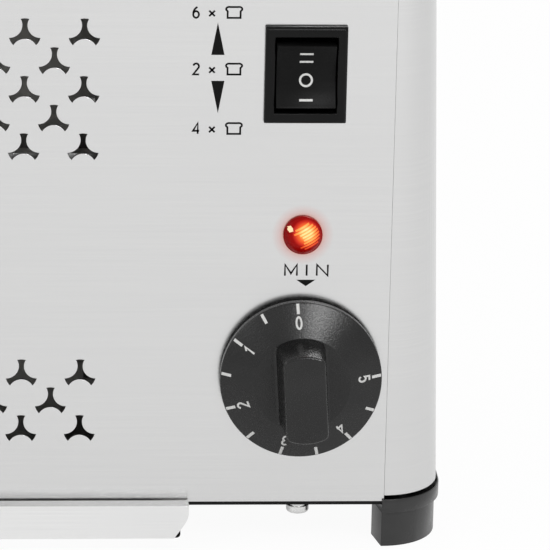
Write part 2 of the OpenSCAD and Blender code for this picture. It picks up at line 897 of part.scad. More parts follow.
module switch_housing() {
    body_y = front_y + switch_depth;
    floor_y = pivot_y + rocker_h / 2 + 1;
    color("black") difference() {
        translate([control_x, 0, switch_z]) union() {
            bezel();
            upright(front_y, switch_depth) square([housing_w, housing_h], center = true);
        }
        translate([control_x, 0, switch_z]) upright(front_y - bezel_t - cut, floor_y - front_y + bezel_t + cut)
            square([rocker_open_w, rocker_open_h], center = true);
        rod_along_x(control_x - housing_w, control_x + housing_w, pivot_y, switch_z, pivot_d + 2 * slip);
    }
}

module switch_rocker() {
    pin_l = housing_w - 2 * loose;
    color("black") difference() {
        union() {
            box([control_x - rocker_w / 2, rocker_front, switch_z - rocker_h / 2],
                [control_x + rocker_w / 2, rocker_front + rocker_depth, switch_z + rocker_h / 2]);
            rod_along_x(control_x - pin_l / 2, control_x + pin_l / 2, pivot_y, switch_z, pivot_d);
        }
        rod_along_x(control_x - bezel_w, control_x + bezel_w, rocker_front + rocker_hollow - hollow_r,
            switch_z, 2 * hollow_r);
    }
}

module lamp_lens() {
    dome_base = lamp_d / 2 - 0.3;
    dome_r = (dome_base ^ 2 + lamp_dome ^ 2) / (2 * lamp_dome);
    flange_y = front_y - lamp_flange_t;
    color("red") {
        rod_along_y(lamp_x, flange_y, front_y, lamp_z, lamp_d);
        rod_along_y(lamp_x, front_y - sliver, front_y + lamp_neck_l, lamp_z, lamp_neck_d);
        intersection() {
            translate([lamp_x, flange_y - lamp_dome + dome_r, lamp_z]) sphere(dome_r);
            rod_along_y(lamp_x, flange_y - lamp_dome - cut, flange_y + sliver, lamp_z, 2 * dome_base);
        }
    }
}

module lamp_holder() {
    face = front_y + sheet_t;
    color("black") difference() {
        rod_along_y(lamp_x, face, face + lamp_holder_l, lamp_z, lamp_holder_d);
        rod_along_y(lamp_x, face - cut, front_y + lamp_neck_l + loose, lamp_z, lamp_neck_d + 2 * fit);
    }
}

module terminal_block() {
    block_w = 32;
    block_l = 20;
    block_h = 18;
    poles = 3;
    low_y = body_d / 2 - 52;
    color("ivory") difference() {
        box([control_x - block_w / 2, low_y, floor_z],
            [control_x + block_w / 2, low_y + block_l, floor_z + block_h]);
        for (k = [0:poles - 1])
            rod_along_y(control_x + (k - 1) * block_w / poles, low_y - cut, low_y + block_l + cut,
                floor_z + block_h / 2, 5);
    }
}

module cable_gland() {
    hex_d = gland_d + 8;
    nut_t = 5;
    hex_t = 8;
    face = body_d / 2;
    color("black") difference() {
        union() {
            translate([control_x, inner_y - nut_t, gland_z]) rotate([-90, 0, 0])
                cylinder(d = hex_d, h = nut_t, $fn = 6);
            rod_along_y(control_x, inner_y - sliver, face + sliver, gland_z, gland_d);
            translate([control_x, face, gland_z]) rotate([-90, 0, 0])
                cylinder(d = hex_d, h = hex_t, $fn = 6);
            translate([control_x, face + hex_t - sliver, gland_z]) rotate([-90, 0, 0])
                cylinder(d1 = gland_d + 4, d2 = gland_d - 2, h = gland_reach - hex_t + sliver);
        }
        rod_along_y(control_x, inner_y - nut_t - cut, face + gland_reach + cut, gland_z, gland_bore);
    }
}

front_panel();
rear_panel();
left_end_cover();
right_end_cover();
top_cover();
base_plate();
chamber_front_wall();
chamber_rear_wall();
left_bulkhead();
right_bulkhead();
foot_front_left();
foot_front_right();
foot_rear_left();
foot_rear_right();
foot_screws();
crumb_tray();
lip_pads();
tray_rails();
heater_board(1);  // heater_board_1
heater_board(2);  // heater_board_2
heater_board(3);  // heater_board_3
heater_board(4);  // heater_board_4
heater_board(5);  // heater_board_5
heater_board(6);  // heater_board_6
heater_board(7);  // heater_board_7
heating_ribbon(1);  // heating_ribbon_1
heating_ribbon(2);  // heating_ribbon_2
heating_ribbon(3);  // heating_ribbon_3
heating_ribbon(4);  // heating_ribbon_4
heating_ribbon(5);  // heating_ribbon_5
heating_ribbon(6);  // heating_ribbon_6
heating_ribbon(7);  // heating_ribbon_7
wire_guard(1);  // wire_guard_1
wire_guard(2);  // wire_guard_2
wire_guard(3);  // wire_guard_3
wire_guard(4);  // wire_guard_4
wire_guard(5);  // wire_guard_5
wire_guard(6);  // wire_guard_6
wire_guard(7);  // wire_guard_7
bread_rack(1);  // bread_rack_1
bread_rack(2);  // bread_rack_2
bread_rack(3);  // bread_rack_3
bread_rack(4);  // bread_rack_4
bread_rack(5);  // bread_rack_5
bread_rack(6);  // bread_rack_6
lift_frame();
guide_rods();
guide_bushes();
lever_arm();
lever_knob();
timer_body();
timer_shaft();
timer_knob();
switch_housing();
switch_rocker();
lamp_lens();
lamp_holder();
terminal_block();
cable_gland();
base_screws();
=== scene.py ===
import math

import bmesh
import bpy
from mathutils import Matrix, Vector


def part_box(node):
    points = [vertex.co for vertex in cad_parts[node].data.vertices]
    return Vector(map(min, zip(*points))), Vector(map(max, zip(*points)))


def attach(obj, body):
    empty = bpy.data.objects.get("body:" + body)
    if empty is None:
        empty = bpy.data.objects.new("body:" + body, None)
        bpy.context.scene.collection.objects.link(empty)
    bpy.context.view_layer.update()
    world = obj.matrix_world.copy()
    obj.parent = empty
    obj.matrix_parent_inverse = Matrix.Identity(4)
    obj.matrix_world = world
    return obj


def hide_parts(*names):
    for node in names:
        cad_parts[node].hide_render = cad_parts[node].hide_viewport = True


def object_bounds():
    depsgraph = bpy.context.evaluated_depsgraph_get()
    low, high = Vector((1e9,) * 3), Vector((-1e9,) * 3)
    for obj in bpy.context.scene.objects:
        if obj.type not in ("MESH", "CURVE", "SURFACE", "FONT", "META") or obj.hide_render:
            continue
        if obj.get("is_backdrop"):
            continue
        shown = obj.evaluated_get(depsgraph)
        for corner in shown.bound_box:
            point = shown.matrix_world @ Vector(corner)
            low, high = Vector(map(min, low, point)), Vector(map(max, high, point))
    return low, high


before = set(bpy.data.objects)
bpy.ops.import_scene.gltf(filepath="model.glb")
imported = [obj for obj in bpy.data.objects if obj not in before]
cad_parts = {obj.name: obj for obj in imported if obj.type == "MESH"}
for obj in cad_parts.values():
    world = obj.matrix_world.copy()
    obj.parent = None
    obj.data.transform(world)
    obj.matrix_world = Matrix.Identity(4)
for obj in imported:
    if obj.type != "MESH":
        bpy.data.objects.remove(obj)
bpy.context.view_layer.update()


# Front and rear panels
# Two sheets of 1 mm stainless steel, punched with the vents and folded at top and bottom.
# A belt leaves a fine level grain on them, and handling leaves faint smudges.

mm = 0.001


def evenly(grain):
    """A grain of the same length along each axis."""
    return (grain, grain, grain)


def grey(level):
    """A colour without tint."""
    return (level, level, level)


class Finish:
    """A procedural finish: one material, its node tree and its shader."""

    def __init__(self, name, constants):
        self.material = bpy.data.materials.new(name)
        self.material.use_nodes = True
        self.tree = self.material.node_tree
        self.shader = self.tree.nodes["Principled BSDF"]
        for socket, value in constants.items():
            self.shader.inputs[socket].default_value = value

    def node(self, kind, inputs):
        """Adds a node and fills its inputs with constants or with other nodes' outputs."""
        made = self.tree.nodes.new(kind)
        for socket, value in inputs.items():
            if isinstance(value, bpy.types.NodeSocket):
                self.tree.links.new(value, made.inputs[socket])
            else:
                made.inputs[socket].default_value = value
        return made

    def spots(self, grain):
        """Places on the piece, counted in grains; a grain is its length in metres along each axis."""
        where = self.tree.nodes.new("ShaderNodeTexCoord").outputs["Object"]
        counts = [1 / length for length in grain]
        return self.node("ShaderNodeMapping", {"Vector": where, "Scale": counts}).outputs["Vector"]

    def clouds(self, grain, detail=3.0):
        """Soft random field, mostly from 0.3 to 0.7."""
        inputs = {"Vector": self.spots(grain), "Scale": 1.0, "Detail": detail}
        return self.node("ShaderNodeTexNoise", inputs).outputs["Fac"]

    def flakes(self, grain):
        """Random level for each flake of a flaky or crystalline surface, from 0 to 1."""
        made = self.node("ShaderNodeTexVoronoi", {"Vector": self.spots(grain), "Scale": 1.0})
        split = self.node("ShaderNodeSeparateColor", {"Color": made.outputs["Color"]})
        return split.outputs["Red"]

    def mixed(self, first, second, share):
        """Field made of two others, the second weighing share."""
        made = self.node("ShaderNodeMix", {"Factor": share, "A": first, "B": second})
        return made.outputs["Result"]

    def colour(self, field, dark, light, low=0.3, high=0.7):
        """Colours the surface from dark to light over the field's span from low to high."""
        ramp = self.node("ShaderNodeValToRGB", {"Fac": field})
        for stop, place, tone in zip(ramp.color_ramp.elements, (low, high), (dark, light)):
            stop.position = place
            stop.color = (*tone, 1.0)
        self.tree.links.new(ramp.outputs["Color"], self.shader.inputs["Base Color"])

    def roughness(self, field, smooth, rough):
        """Spreads the roughness over the field's usual span."""
        inputs = {"Value": field, "From Min": 0.3, "From Max": 0.7, "To Min": smooth, "To Max": rough}
        spread = self.node("ShaderNodeMapRange", inputs)
        self.tree.links.new(spread.outputs["Result"], self.shader.inputs["Roughness"])

    def relief(self, field, depth):
        """Raises and sinks the surface by the field, depth being the full height in metres."""
        bump = self.node("ShaderNodeBump", {"Height": field, "Distance": depth})
        self.tree.links.new(bump.outputs["Normal"], self.shader.inputs["Normal"])


def brushed_steel(name, grain, dark=0.66, light=0.69, smooth=0.18, rough=0.26):
    """Stainless sheet with a belt's grain, and smudges a hand's breadth across."""
    made = Finish(name, {"Metallic": 1.0})
    scratches = made.clouds(grain, detail=4.0)
    smudges = made.clouds((90 * mm, 90 * mm, 70 * mm), detail=2.0)
    made.colour(scratches, grey(dark), (light, light, light * 0.995))
    made.roughness(made.mixed(scratches, smudges, 0.6), smooth, rough)
    made.relief(scratches, 0.0015 * mm)
    return made


def dress(name, finish, soft_edge=0.0, smooth=True):
    """Gives a CAD node its finish and, where asked, softened edges; plain sheet isn't shaded smooth."""
    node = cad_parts[name]
    node.data.materials.clear()
    node.data.materials.append(finish.material)
    node.data.polygons.foreach_set("use_smooth", [smooth] * len(node.data.polygons))
    if soft_edge:
        joined = node.modifiers.new("joined_corners", "WELD")
        joined.merge_threshold = 0.001 * mm
        edge = node.modifiers.new("soft_edges", "BEVEL")
        edge.width = soft_edge
        edge.segments = 2
        edge.limit_method = "ANGLE"
        edge.angle_limit = math.radians(40)
        edge.harden_normals = smooth


level_grain = (40 * mm, 40 * mm, 0.25 * mm)
front_steel = brushed_steel("front_steel", level_grain)
rear_steel = brushed_steel("rear_steel", level_grain)
dress("front_panel", front_steel, soft_edge=0.15 * mm, smooth=False)
dress("rear_panel", rear_steel, soft_edge=0.15 * mm, smooth=False)


# End covers
# Each end is one drawn stainless cover, rounded at its upright corners and along its top.
# Tongues behind the panels hold it, and a hairline seam shows along each panel.

cover_steel = brushed_steel("cover_steel", level_grain, dark=0.655, light=0.685)
for cover in ("left_end_cover", "right_end_cover"):
    dress(cover, cover_steel)


# Top cover
# The top is a stainless sheet tucked under the panels' folded edges and the end covers.
# Its six bread slots have turned-down collars, so no raw edge faces the hand.

top_steel = brushed_steel("top_steel", (40 * mm, 0.25 * mm, 40 * mm))
dress("top_cover", top_steel, soft_edge=0.35 * mm, smooth=False)


# Base plate
# The bottom is dark painted steel, screwed up to the panels' lower folds.
# Its edge shows as a thin black line under the panels.

base_paint = Finish("base_paint", {"Metallic": 0.0, "Specular IOR Level": 0.15})
base_paint.colour(base_paint.clouds(evenly(6 * mm)), grey(0.003), grey(0.006))
base_paint.roughness(base_paint.clouds(evenly(30 * mm)), 0.42, 0.58)
base_paint.relief(base_paint.clouds(evenly(0.8 * mm), detail=1.0), 0.02 * mm)
dress("base_plate", base_paint)


# Toasting chamber
# Plain walls of aluminised steel box the heaters in, slotted where the racks' spines pass.
# The coating has dull crystal flakes, and heat has yellowed it a little.

chamber_sheet = Finish("chamber_sheet", {"Metallic": 0.9})
chamber_flakes = chamber_sheet.flakes(evenly(5 * mm))
chamber_sheet.colour(chamber_flakes, (0.36, 0.355, 0.34), (0.46, 0.45, 0.425), low=0.0, high=1.0)
chamber_sheet.roughness(chamber_sheet.clouds(evenly(20 * mm)), 0.38, 0.55)
for wall in ("chamber_front_wall", "chamber_rear_wall", "left_bulkhead", "right_bulkhead"):
    dress(wall, chamber_sheet)


# Heater boards
# Sheets of pressed mica stand between the slots, pale brown with glittering flakes.
# They slip into the chamber walls at their ends and carry the wound ribbons.

mica = Finish("mica", {"Metallic": 0.0, "Specular IOR Level": 0.6})
mica_flakes = mica.flakes((2.5 * mm, 4 * mm, 3 * mm))
mica.colour(mica_flakes, (0.34, 0.25, 0.14), (0.56, 0.45, 0.29), low=0.0, high=1.0)
mica.roughness(mica_flakes, 0.25, 0.5)
mica.relief(mica_flakes, 0.03 * mm)
heater_count = 7
for i in range(1, heater_count + 1):
    dress(f"heater_board_{i}", mica)


# Heating ribbons
# One flat strip of nickel-chrome is wound round each board from front to back.
# Use has left it dull bronze with darker, bluish patches.

hot_ribbon = Finish("hot_ribbon", {"Metallic": 1.0})
ribbon_patches = hot_ribbon.clouds((9 * mm, 9 * mm, 14 * mm))
hot_ribbon.colour(ribbon_patches, (0.2, 0.19, 0.2), (0.45, 0.36, 0.27))
hot_ribbon.roughness(ribbon_patches, 0.32, 0.5)
for i in range(1, heater_count + 1):
    dress(f"heating_ribbon_{i}", hot_ribbon)


# Wire guards
# Welded cages of drawn steel wire keep the bread off the ribbons.
# Their bright plating has gone straw-coloured where it is hottest.

guard_wire = Finish("guard_wire", {"Metallic": 1.0})
guard_heat = guard_wire.clouds((25 * mm, 25 * mm, 40 * mm))
guard_wire.colour(guard_heat, (0.6, 0.54, 0.44), (0.7, 0.69, 0.67))
guard_wire.roughness(guard_wire.clouds((3 * mm, 3 * mm, 12 * mm)), 0.22, 0.38)
for i in range(1, heater_count + 1):
    dress(f"wire_guard_{i}", guard_wire)


# Lift carriage
# Six racks, each a flat spine with cross wires, stand on a welded frame that the lever moves.
# All of it is zinc-plated steel, with the mottled grey of barrel plating.

zinc = Finish("zinc", {"Metallic": 1.0})
zinc_mottle = zinc.clouds(evenly(7 * mm), detail=4.0)
zinc.colour(zinc_mottle, grey(0.52), (0.66, 0.66, 0.65))
zinc.roughness(zinc_mottle, 0.26, 0.42)
rack_count = 6
for i in range(1, rack_count + 1):
    dress(f"bread_rack_{i}", zinc)
for piece in ("lift_frame", "lever_arm"):
    dress(piece, zinc, soft_edge=0.5 * mm)


# Guide rods and bushes
# Two ground steel rods stand on the base plate; brass bushes pressed into the frame run on them.

ground_steel = Finish("ground_steel", {"Metallic": 1.0})
rod_rings = ground_steel.clouds((8 * mm, 8 * mm, 0.3 * mm))
ground_steel.colour(rod_rings, (0.66, 0.66, 0.67), grey(0.74))
ground_steel.roughness(rod_rings, 0.14, 0.24)
dress("guide_rods", ground_steel)

brass = Finish("brass", {"Metallic": 1.0})
brass_turning = brass.clouds((6 * mm, 6 * mm, 0.4 * mm))
brass.colour(brass_turning, (0.6, 0.42, 0.18), (0.74, 0.55, 0.26))
brass.roughness(brass_turning, 0.24, 0.36)
dress("guide_bushes", brass)


# Lever knob
# A round knob of black moulded plastic, pushed onto the lever's end at the left of the front.
# Its mould is spark-eroded, so the surface has a fine even grain.


def moulded_black(name, dark=0.005, light=0.009, gloss=0.35, smooth=0.4, rough=0.5,
                  grain=0.5 * mm, depth=0.03 * mm):
    """Black moulded plastic with the fine grain of its mould; gloss is the level of its reflections."""
    made = Finish(name, {"Metallic": 0.0, "Specular IOR Level": gloss})
    pits = made.clouds(evenly(grain), detail=2.0)
    haze = made.clouds(evenly(14 * mm))
    made.colour(haze, grey(dark), grey(light))
    made.roughness(made.mixed(pits, haze, 0.5), smooth, rough)
    made.relief(pits, depth)
    return made


knob_plastic = moulded_black("knob_plastic")
dress("lever_knob", knob_plastic)


# Timer and its shaft
# A clockwork timer in a white case sits behind the panel; its steel shaft carries the knob.

timer_white = Finish("timer_white", {"Metallic": 0.0})
timer_haze = timer_white.clouds(evenly(12 * mm))
timer_white.colour(timer_haze, (0.72, 0.71, 0.68), (0.8, 0.79, 0.76))
timer_white.roughness(timer_haze, 0.4, 0.5)
dress("timer_body", timer_white, soft_edge=0.8 * mm)
dress("timer_shaft", ground_steel)


# Timer knob
# One moulding of satin black plastic: a coned skirt, a round hub and an upright grip bar.
# It is pushed onto the timer's shaft and stands just clear of the panel.


def make_piece(name, points, faces, finish, body):
    """Makes a mesh piece in the part's own frame that moves with a body."""
    mesh = bpy.data.meshes.new(name)
    mesh.from_pydata(points, [], faces)
    shape = bmesh.new()
    shape.from_mesh(mesh)
    bmesh.ops.remove_doubles(shape, verts=shape.verts, dist=0.0005 * mm)
    bmesh.ops.recalc_face_normals(shape, faces=shape.faces)
    shape.to_mesh(mesh)
    shape.free()
    mesh.polygons.foreach_set("use_smooth", [True] * len(mesh.polygons))
    mesh.set_sharp_from_angle(angle=math.radians(35))
    mesh.materials.append(finish.material)
    piece = bpy.data.objects.new(name, mesh)
    bpy.context.scene.collection.objects.link(piece)
    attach(piece, body)
    return piece


def rounded(corners, steps=6):
    """Outline through corners (x, y, radius), each turned into an arc of its radius."""
    outline = []
    for k, (x, y, radius) in enumerate(corners):
        here = Vector((x, y))
        if radius == 0 or k in (0, len(corners) - 1):
            outline.append((x, y))
            continue
        back = (Vector(corners[k - 1][:2]) - here).normalized()
        ahead = (Vector(corners[k + 1][:2]) - here).normalized()
        half = back.angle(ahead) / 2
        middle = here + (back + ahead).normalized() * radius / math.sin(half)
        start = here + back * radius / math.tan(half) - middle
        end = here + ahead * radius / math.tan(half) - middle
        for step in range(steps + 1):
            arm = start.slerp(end, step / steps).normalized() * radius
            outline.append(tuple(middle + arm))
    return outline


def turned(profile, axis, steps=128):
    """Points and faces of a form turned about an axis out of the panel, from (radius, reach) pairs."""
    points = []
    for radius, reach in profile:
        for k in range(steps):
            angle = 2 * math.pi * k / steps
            across = radius * math.cos(angle)
            along = radius * math.sin(angle)
            points.append((axis.x + across, axis.y - reach, axis.z + along))
    return points, ring_faces(len(profile), steps)


def ring_faces(rings, steps):
    """Faces between neighbouring rings of points, with the first and last ring closed."""
    faces = [tuple(range(steps)), tuple(range((rings - 1) * steps, rings * steps))]
    for ring in range(rings - 1):
        for k in range(steps):
            a = ring * steps + k
            b = ring * steps + (k + 1) % steps
            faces.append((a, b, b + steps, a + steps))
    return faces


def axis_of(node):
    """Where a round node's axis meets the face of the front panel."""
    low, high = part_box(node)
    middle = (low + high) / 2
    return Vector((middle.x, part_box("front_panel")[0].y, middle.z))


knob_axis = axis_of("timer_knob")
knob_low, knob_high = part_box("timer_knob")
knob_r = (knob_high.x - knob_low.x) / 2
knob_gap = knob_axis.y - knob_high.y
knob_reach = knob_axis.y - knob_low.y
knob_turn = math.radians(3.8)
rim_back = knob_gap + 1.3 * mm
rim_reach = knob_gap + 4 * mm
hub_r = 15.2 * mm
hub_reach = knob_gap + 9 * mm
skirt_wall = 2 * mm
socket_r = 6 * mm

skirt = rounded([
    (0, knob_gap + 3 * mm, 0),
    (socket_r, knob_gap + 3 * mm, 0),
    (socket_r, hub_reach - skirt_wall, 0),
    (hub_r - skirt_wall, hub_reach - skirt_wall, 0),
    (knob_r - skirt_wall, rim_back, 0.3 * mm),
    (knob_r, rim_back, 0.3 * mm),
    (knob_r, rim_reach, 0.7 * mm),
    (hub_r, hub_reach, 0.5 * mm),
    (0, hub_reach, 0),
])


def grip_ring(half_width, end_r, corner_r, reach, corner_steps=6, end_steps=8):
    """One level of the grip: straight sides, ends round the knob's axis, soft corners."""
    side = half_width - corner_r
    rise = math.sqrt((end_r - corner_r) ** 2 - side ** 2)
    lean = math.atan2(rise, side)
    quarter = []
    for k in range(corner_steps + 1):
        angle = lean * k / corner_steps
        quarter.append((side + corner_r * math.cos(angle), rise + corner_r * math.sin(angle)))
    for k in range(1, end_steps):
        angle = lean + (math.pi / 2 - lean) * k / end_steps
        quarter.append((end_r * math.cos(angle), end_r * math.sin(angle)))
    right_up = quarter + [(0, end_r)]
    left_up = [(-x, z) for x, z in reversed(quarter)]
    upper = right_up + left_up
    lower = [(-x, -z) for x, z in upper]
    ring = []
    for x, z in upper + lower:
        across = x * math.cos(knob_turn) - z * math.sin(knob_turn)
        along = x * math.sin(knob_turn) + z * math.cos(knob_turn)
        ring.append((knob_axis.x + across, knob_axis.y - reach, knob_axis.z + along))
    return ring


grip_half = 6.6 * mm
grip_end_r = 14.4 * mm
grip_corner_r = 2.2 * mm
grip_draft = 0.9 * mm
grip_edge_r = 0.9 * mm
grip_foot_r = 1.1 * mm
grip_foot = hub_reach
edge_steps = 5
grip_levels = []
for k in range(edge_steps + 1):
    angle = math.pi / 2 * k / edge_steps
    flare = grip_foot_r * (1 - math.sin(angle)) + grip_draft
    grip_levels.append((flare, grip_foot + grip_foot_r * (1 - math.cos(angle))))
for k in range(edge_steps + 1):
    angle = math.pi / 2 * k / edge_steps
    flare = -grip_edge_r * (1 - math.cos(angle))
    grip_levels.append((flare, knob_reach - grip_edge_r * (1 - math.sin(angle))))
end_flare_most = 0.4 * mm
root_half = grip_half + grip_draft + grip_foot_r
grip_points = grip_ring(root_half, grip_end_r + end_flare_most, grip_corner_r, grip_foot - mm)
for flare, reach in grip_levels:
    end_r = grip_end_r + min(flare, end_flare_most)
    corner_r = grip_corner_r + min(flare, 0)
    grip_points += grip_ring(grip_half + flare, end_r, corner_r, reach)
grip_rings = len(grip_levels) + 1
grip_steps = len(grip_points) // grip_rings

skirt_points, skirt_faces = turned(skirt, knob_axis)
offset = len(skirt_points)
grip_faces = [tuple(offset + i for i in face) for face in ring_faces(grip_rings, grip_steps)]
dial_plastic = moulded_black("dial_plastic", gloss=0.4, smooth=0.23, rough=0.31, depth=0.06 * mm)
timer_knob = make_piece("timer_knob_moulding", skirt_points + grip_points, skirt_faces + grip_faces,
                        dial_plastic, "timer_dial")
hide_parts("timer_knob")


# Dial scale
# White ink pad-printed on the knob's skirt: minutes 0 to 5 with half-minute ticks.
# The film is only a few hundredths of a millimetre thick and follows the cone.


class Print:
    """A thin film of ink: lines and patches drawn flat, laid on a surface by place(x, y, lift)."""

    top = 0.04 * mm
    bottom = -0.02 * mm

    def __init__(self):
        self.points = []
        self.faces = []

    def line(self, stroke, width, place, closed=False):
        """Inks a line of even width along a stroke."""
        count = len(stroke)
        first = len(self.points)
        for k, here in enumerate(stroke):
            back = stroke[k - 1] if k or closed else here
            ahead = stroke[(k + 1) % count] if k < count - 1 or closed else here
            ways = [Vector(b) - Vector(a) for a, b in ((back, here), (here, ahead)) if a != b]
            sides = [Vector((-way.y, way.x)).normalized() for way in ways]
            side = sum(sides, Vector((0, 0))).normalized()
            reach = width / 2 / max(side.dot(sides[0]), 0.5)
            left = Vector(here) + side * reach
            right = Vector(here) - side * reach
            edges = ((left, self.bottom), (left, self.top), (right, self.top), (right, self.bottom))
            self.points += [place(spot.x, spot.y, lift) for spot, lift in edges]
        spans = count if closed else count - 1
        for k in range(spans):
            a = first + 4 * k
            b = first + 4 * ((k + 1) % count)
            for j in range(4):
                n = (j + 1) % 4
                self.faces.append((a + j, a + n, b + n, b + j))
        if not closed:
            last = first + 4 * (count - 1)
            self.faces.append((first, first + 1, first + 2, first + 3))
            self.faces.append((last, last + 1, last + 2, last + 3))

    def patch(self, outline, place):
        """Inks a filled outline."""
        count = len(outline)
        first = len(self.points)
        for lift in (self.bottom, self.top):
            self.points += [place(x, y, lift) for x, y in outline]
        self.faces += [tuple(first + i for i in face) for face in ring_faces(2, count)]

    def make(self, name, finish, body, slot):
        """Makes one piece of all that was inked."""
        return make_piece(name, self.points, self.faces, finish, body)


def arc(x, y, rx, ry, start, end, steps=12):
    """Points along part of an ellipse, angles in degrees."""
    angles = [math.radians(start + (end - start) * k / steps) for k in range(steps + 1)]
    return [(x + rx * math.cos(a), y + ry * math.sin(a)) for a in angles]


# Strokes of the numerals, each in a cell 0.55 wide and 1 high; a true flag closes the stroke
numerals = {
    "0": [(arc(0.27, 0.5, 0.24, 0.5, 90, 430, 22), True)],
    "1": [([(0.1, 0.72), (0.34, 1.0), (0.34, 0.0)], False)],
    "2": [(arc(0.27, 0.74, 0.25, 0.26, 165, -25) + [(0.02, 0.0), (0.55, 0.0)], False)],
    "3": [(arc(0.25, 0.76, 0.23, 0.24, 150, -80), False), (arc(0.25, 0.27, 0.27, 0.27, 85, -155), False)],
    "4": [([(0.42, 0.0), (0.42, 1.0), (0.0, 0.28), (0.55, 0.28)], False)],
    "5": [([(0.5, 1.0), (0.09, 1.0), (0.06, 0.55)] + arc(0.25, 0.32, 0.27, 0.32, 118, -150), False)],
    "6": [(arc(0.27, 0.3, 0.25, 0.3, 90, 430, 22), True), (arc(0.6, 0.36, 0.58, 0.66, 178, 112), False)],
}

scale_slope = (hub_reach - rim_reach) / (knob_r - hub_r)


def on_skirt(angle, radius, lift):
    """Point on the coned skirt, angle counted to the left from the top as the front shows it."""
    turn = angle + knob_turn
    reach = rim_reach + (knob_r - radius) * scale_slope + lift
    across = radius * math.sin(turn)
    along = radius * math.cos(turn)
    return (knob_axis.x - across, knob_axis.y - reach, knob_axis.z + along)


def skirt_spot(angle, radius):
    """Lays a flat drawing on the skirt, its y axis pointing out from the knob's middle."""
    def place(x, y, lift):
        out = radius + y
        return on_skirt(angle - x / out, out, lift)
    return place


scale_step = math.radians(27)
tick_r = 25.2 * mm
tick_length = 2.95 * mm
tick_width = 0.95 * mm
number_r = 18.05 * mm
number_height = 3.3 * mm
number_width = 0.55
number_line = 0.6 * mm
tick_count = 11

scale_print = Print()
for k in range(tick_count):
    angle = k * scale_step
    tick = [(0, 0), (0, tick_length / 2), (0, tick_length)]
    scale_print.line(tick, tick_width, skirt_spot(angle, tick_r - tick_length))
    if k % 2 == 0:
        for stroke, closed in numerals[str(k // 2)]:
            drawn = [((x - number_width / 2) * number_height, y * number_height) for x, y in stroke]
            scale_print.line(drawn, number_line, skirt_spot(angle, number_r), closed)

white_ink = Finish("white_ink", {"Metallic": 0.0, "Specular IOR Level": 0.4})
ink_grain = white_ink.clouds(evenly(0.4 * mm))
white_ink.colour(ink_grain, (0.52, 0.52, 0.51), (0.6, 0.6, 0.59))
white_ink.roughness(ink_grain, 0.45, 0.6)
scale_print.make("dial_scale", white_ink, "timer_dial", "terminal_white")


# Rocker switch
# A snap-in switch: a gloss black housing with a bevelled bezel and a hollow-faced rocker in it.
# The rocker's pins turn in the housing, and its three positions are marked in white.

bezel_plastic = moulded_black("bezel_plastic", dark=0.002, light=0.003, gloss=0.16, smooth=0.26, rough=0.34,
                              depth=0.01 * mm)
dress("switch_housing", bezel_plastic, soft_edge=0.35 * mm)
rocker_plastic = moulded_black("rocker_plastic", dark=0.002, light=0.004, gloss=0.12, depth=0.06 * mm)
dress("switch_rocker", rocker_plastic, soft_edge=0.4 * mm)

rocker_low, rocker_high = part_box("switch_rocker")
rocker_mid = (rocker_low + rocker_high) / 2
rocker_half = 9.9 * mm
rocker_hollow = 3 * mm
face_r = (rocker_half ** 2 + rocker_hollow ** 2) / (2 * rocker_hollow)


def on_rocker(x, z, lift):
    """Point on the rocker's hollow face, measured from its middle."""
    sink = rocker_hollow - face_r + math.sqrt(face_r ** 2 - z ** 2)
    return (rocker_mid.x + x, rocker_low.y + sink - lift, rocker_mid.z + z)


mark_width = 0.65 * mm
mark_half = 2.1 * mm
stroke_heights = (7.05 * mm, 4.35 * mm, -7.65 * mm)
ring_height = -1.65 * mm
ring_r = 1.85 * mm
rocker_print = Print()
for height in stroke_heights:
    rocker_print.line([(-mark_half, height), (0, height), (mark_half, height)], mark_width, on_rocker)
ring = arc(0, ring_height, ring_r, ring_r, 0, 345, 23)
rocker_print.line(ring, mark_width, on_rocker, closed=True)
rocker_print.make("rocker_marks", white_ink, "rocker", "terminal_white")


# Pilot lamp
# A red ribbed lens snaps into the panel over a small glow lamp in a black holder.
# Its ribs glow and its rim stays dark; a patch at the upper left is a painted highlight.
# A little of its red light on the steel around it is painted into the steel's colour.

lamp_axis = axis_of("lamp_lens")
lamp_low, lamp_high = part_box("lamp_lens")
lens_r = (lamp_high.x - lamp_low.x) / 2
lens_reach = lamp_axis.y - lamp_low.y
flange_reach = 1.2 * mm
dome_r = lens_r - 0.3 * mm
dome_rise = lens_reach - flange_reach
dome_sphere = (dome_r ** 2 + dome_rise ** 2) / (2 * dome_rise)
dome_lean = math.asin(dome_r / dome_sphere)
dome_steps = 20
hollow_reach = 0.9 * mm
hollow_r = lens_r - 0.9 * mm
mouth_r = lens_r - 0.7 * mm
flange_edge = 0.2 * mm
lens_profile = [(0, hollow_reach), (hollow_r, hollow_reach), (mouth_r, 0), (lens_r, 0),
                (lens_r, flange_reach - flange_edge), (lens_r - flange_edge / 2, flange_reach)]
for k in range(dome_steps + 1):
    angle = dome_lean * (1 - k / dome_steps)
    lens_profile.append((dome_sphere * math.sin(angle), lens_reach - dome_sphere * (1 - math.cos(angle))))


def tones_near(finish, middle, reach, tones):
    """Colour by nearness to a spot: tones are (nearness, colour), 0 being reach away and 1 the spot."""
    where = finish.tree.nodes.new("ShaderNodeTexCoord").outputs["Object"]
    inputs = {"Vector": where, "Location": -middle / reach, "Scale": [1 / reach] * 3}
    from_spot = finish.node("ShaderNodeMapping", inputs)
    nearness = finish.node("ShaderNodeTexGradient", {"Vector": from_spot.outputs["Vector"]})
    nearness.gradient_type = "SPHERICAL"
    ramp = finish.node("ShaderNodeValToRGB", {"Fac": nearness.outputs["Fac"]})
    stops = ramp.color_ramp.elements
    while len(stops) < len(tones):
        stops.new(0.5)
    for stop, (near, tone) in zip(stops, tones):
        stop.position = near
        stop.color = (*tone, 1.0)
    return ramp.outputs["Color"]


